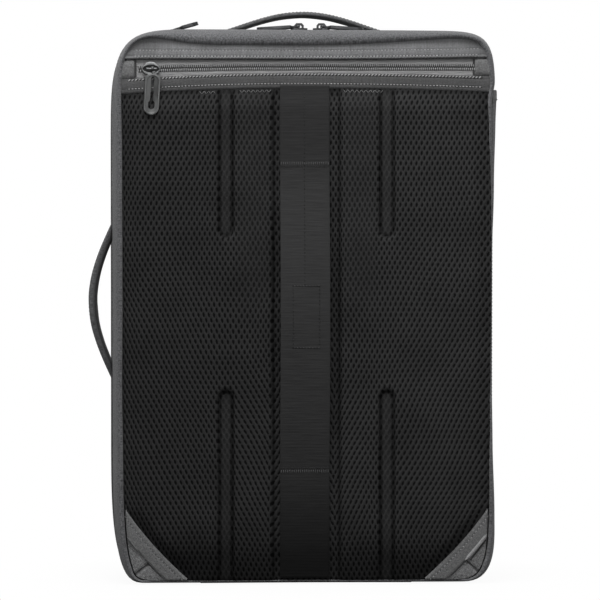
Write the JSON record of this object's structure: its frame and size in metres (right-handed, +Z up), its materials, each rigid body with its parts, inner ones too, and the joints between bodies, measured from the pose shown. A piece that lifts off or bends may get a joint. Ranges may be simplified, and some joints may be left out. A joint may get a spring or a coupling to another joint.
{
  "type": "convertible backpack",
  "caption": "Slim upright laptop bag in grey heather cloth with padded black mesh back, luggage strap, zipped stow pocket, side pocket and grab handles at the top and one side.",
  "frame": {"origin": "middle of the flat base, on the surface that the bag stands on", "axes": "+Z up the bag, +X to the wearer's-back side's right as seen from that side, +Y from the mesh back to the front panel"},
  "size_m": [0.3318, 0.1358, 0.4609],
  "materials": {
    "heather_cloth": "grey heather polyester",
    "trim_cloth": "grey heather polyester, close woven",
    "air_mesh": "black air mesh over foam",
    "webbing": "smooth black webbing",
    "zip_tape": "grey woven tape",
    "zip_coil": "nylon coil",
    "gunmetal": "gunmetal plated"
  },
  "bodies": {
    "bag": {"gusset": "heather_cloth", "front_panel": "heather_cloth", "pocket_inner_wall": "heather_cloth", "mesh_back_pad": "air_mesh", "luggage_strap": "webbing", "stow_flap": "trim_cloth", "stow_lower_band": "trim_cloth", "stow_zip_tape": "zip_tape", "stow_zip_coil": "zip_coil", "stow_zip_stop_left": "trim_cloth", "stow_zip_stop_right": "trim_cloth", "stow_slider": "gunmetal", "corner_patch_left": "heather_cloth", "corner_patch_right": "heather_cloth", "corner_band_left": "trim_cloth", "corner_band_right": "trim_cloth", "top_handle": "heather_cloth", "side_handle": "heather_cloth", "side_pocket": "heather_cloth", "laptop_zip_tape": "zip_tape", "laptop_zip_coil": "zip_coil", "laptop_left_slider": "gunmetal", "laptop_right_slider": "gunmetal", "main_zip_tape": "zip_tape", "main_zip_coil": "zip_coil", "main_slider": "gunmetal"},
    "stow_puller": {"stow_pull": "gunmetal"},
    "laptop_left_puller": {"laptop_left_pull": "gunmetal"},
    "laptop_right_puller": {"laptop_right_pull": "gunmetal"},
    "main_puller": {"main_pull": "gunmetal"}
  },
  "joints": [
    {"name": "stow_pull_hinge", "type": "hinge", "parent": "bag", "child": "stow_puller", "pos_m": [-0.1204, -0.0615, 0.41131], "axis": [-1, 0, 0], "range_deg": [0, 170]},
    {"name": "laptop_left_pull_hinge", "type": "hinge", "parent": "bag", "child": "laptop_left_puller", "pos_m": [-0.0017, -0.026, 0.4474], "axis": [0, 1, 0], "range_deg": [0, 100]},
    {"name": "laptop_right_pull_hinge", "type": "hinge", "parent": "bag", "child": "laptop_right_puller", "pos_m": [0.0163, -0.026, 0.4474], "axis": [0, -1, 0], "range_deg": [0, 100]},
    {"name": "main_pull_hinge", "type": "hinge", "parent": "bag", "child": "main_puller", "pos_m": [-0.102, 0.022, 0.4474], "axis": [0, -1, 0], "range_deg": [-21, 167]}
  ]
}
